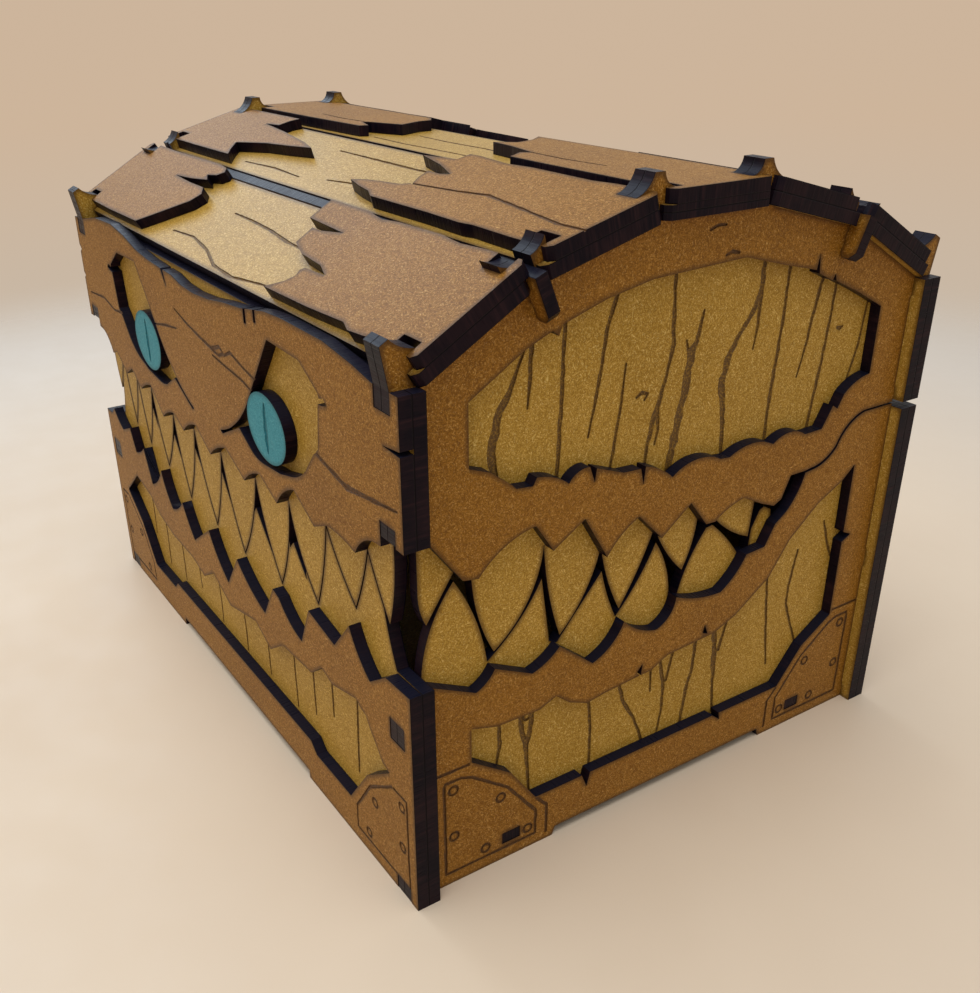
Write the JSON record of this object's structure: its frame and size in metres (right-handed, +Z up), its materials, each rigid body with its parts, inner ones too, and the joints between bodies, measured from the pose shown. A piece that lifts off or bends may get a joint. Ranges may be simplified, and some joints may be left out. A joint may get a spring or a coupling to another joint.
{
  "type": "mimic chest",
  "caption": "Hinged chest of laser cut board with a faceted barrel lid, interlocking cut out teeth round the mouth, slit eyes and clip ribs.",
  "frame": {"origin": "on the floor under the middle of the box", "axes": "+X to the chest's own right seen from the front, -Y out of the toothed front, +Z up"},
  "size_m": [0.2092, 0.1585, 0.1564],
  "materials": {
    "brown_board": "satin painted fibreboard with charred cut edges",
    "gold_board": "satin painted fibreboard with charred cut edges",
    "eye_board": "painted fibreboard with charred cut edges",
    "hinge_brass": "brushed"
  },
  "bodies": {
    "base": {"floor_panel": "gold_board", "base_front_liner": "gold_board", "base_front_face": "brown_board", "base_back_liner": "gold_board", "base_back_face": "brown_board", "hinge_screws_base": "hinge_brass", "base_side_liner_right": "gold_board", "base_side_liner_left": "gold_board", "base_side_face_right": "brown_board", "base_side_face_left": "brown_board", "hinge_base_leaf_right": "hinge_brass", "hinge_base_leaf_left": "hinge_brass", "hinge_pin_right": "hinge_brass", "hinge_pin_left": "hinge_brass"},
    "lid": {"lid_front_liner": "gold_board", "lid_front_face": "brown_board", "lid_back_liner": "gold_board", "lid_back_face": "brown_board", "eye_right": "eye_board", "eye_left": "eye_board", "clip_rib_front": "brown_board", "clip_rib_rear": "brown_board", "hinge_screws_lid": "hinge_brass", "lid_side_liner_right": "gold_board", "lid_side_liner_left": "gold_board", "lid_side_face_right": "brown_board", "lid_side_face_left": "brown_board", "hinge_lid_leaf_right": "hinge_brass", "hinge_lid_leaf_left": "hinge_brass", "lid_panel_1": "gold_board", "lid_plank_1_right": "brown_board", "lid_plank_1_left": "brown_board", "lid_panel_2": "gold_board", "lid_plank_2_right": "brown_board", "lid_plank_2_left": "brown_board", "lid_panel_3": "gold_board", "lid_plank_3_right": "brown_board", "lid_plank_3_left": "brown_board", "lid_panel_4": "gold_board", "lid_plank_4_right": "brown_board", "lid_plank_4_left": "brown_board", "lid_panel_5": "gold_board", "lid_plank_5_right": "brown_board", "lid_plank_5_left": "brown_board"}
  },
  "joints": [
    {"name": "lid_hinge", "type": "hinge", "parent": "base", "child": "lid", "pos_m": [0, 0.0786, 0.09175], "axis": [-1, 0, 0], "range_deg": [0, 105]}
  ]
}
